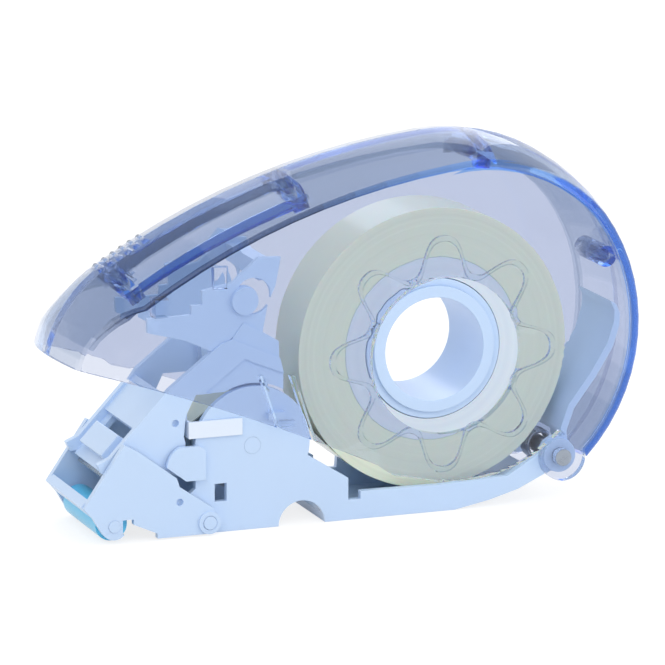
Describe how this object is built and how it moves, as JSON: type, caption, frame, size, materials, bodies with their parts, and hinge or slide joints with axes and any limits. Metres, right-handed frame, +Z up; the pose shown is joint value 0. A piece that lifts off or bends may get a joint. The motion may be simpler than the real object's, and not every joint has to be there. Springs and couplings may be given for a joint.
{
  "type": "hand-held tape dispenser",
  "caption": "Hand-held tape dispenser with a clear drop-shaped press cover over a white frame, tape reel, feed drum, cutter lever and blue press roller on a swing arm",
  "frame": {"origin": "the point on the resting face straight below the reel axis, in the middle of the width", "axes": "+X runs to the rear with the nose at -X, +Y runs across the width away from the removable cover half, +Z is up"},
  "size_m": [0.1086, 0.0258, 0.0671],
  "materials": {
    "white_plastic": "satin moulded",
    "clear_blue": "clear polished, blue tint",
    "tape": "clear film, wound",
    "core_plastic": "satin",
    "blue_rubber": "smooth",
    "grey_rubber": "matt",
    "steel": "bright"
  },
  "bodies": {
    "base": {"base_frame": "white_plastic", "reel_post": "white_plastic", "drum_axle": "steel", "return_leaves": "white_plastic", "pawl": "white_plastic", "cover_pivot_pin": "steel", "arm_pins": "white_plastic", "cover_spring": "steel", "tape_lead": "tape"},
    "press_cover": {"cover_far": "clear_blue"},
    "near_half": {"cover_near": "clear_blue"},
    "cutter": {"cutter_lever": "white_plastic", "blade_clamp": "white_plastic", "blade": "steel"},
    "arm": {"roller_arm": "white_plastic", "roller_axle": "white_plastic"},
    "press_roller": {"roller_core": "white_plastic", "roller_sleeve": "blue_rubber"},
    "drum": {"feed_drum": "white_plastic", "drum_sleeve": "grey_rubber"},
    "reel": {"reel_hub": "white_plastic", "tape_core": "core_plastic", "tape_roll": "tape"}
  },
  "joints": [
    {"name": "cover_press", "type": "hinge", "parent": "base", "child": "press_cover", "pos_m": [0.0223, 0, 0.00858], "axis": [0, -1, 0], "range_deg": [0, 1.5], "stiffness_Nm_per_rad": 3, "springref_deg": -2.29, "deforming": ["cover_spring"]},
    {"name": "cover_side_pull", "type": "slide", "parent": "press_cover", "child": "near_half", "axis": [0, -1, 0], "range_m": [0, 0.03]},
    {"name": "cutter_tip", "type": "hinge", "parent": "base", "child": "cutter", "pos_m": [-0.03498, 0, 0.015], "axis": [0, -1, 0], "range_deg": [0, 6.6], "deforming": ["return_leaves"]},
    {"name": "arm_swing", "type": "hinge", "parent": "base", "child": "arm", "pos_m": [-0.04348, 0, 0.0023], "axis": [0, -1, 0], "range_deg": [0, 40]},
    {"name": "roller_spin", "type": "hinge", "parent": "arm", "child": "press_roller", "pos_m": [-0.06078, 0, 0.0031], "axis": [0, 1, 0], "continuous": true},
    {"name": "reel_spin", "type": "hinge", "parent": "base", "child": "reel", "pos_m": [0, 0, 0.0288], "axis": [0, 1, 0], "continuous": true},
    {"name": "drum_spin", "type": "hinge", "parent": "base", "child": "drum", "pos_m": [-0.03498, 0, 0.015], "axis": [0, 1, 0], "continuous": true}
  ],
  "couplings": [
    {"joint": "cutter_tip", "follows": "cover_press", "ratio": 4.37},
    {"joint": "drum_spin", "follows": "reel_spin", "ratio": -2.8}
  ]
}
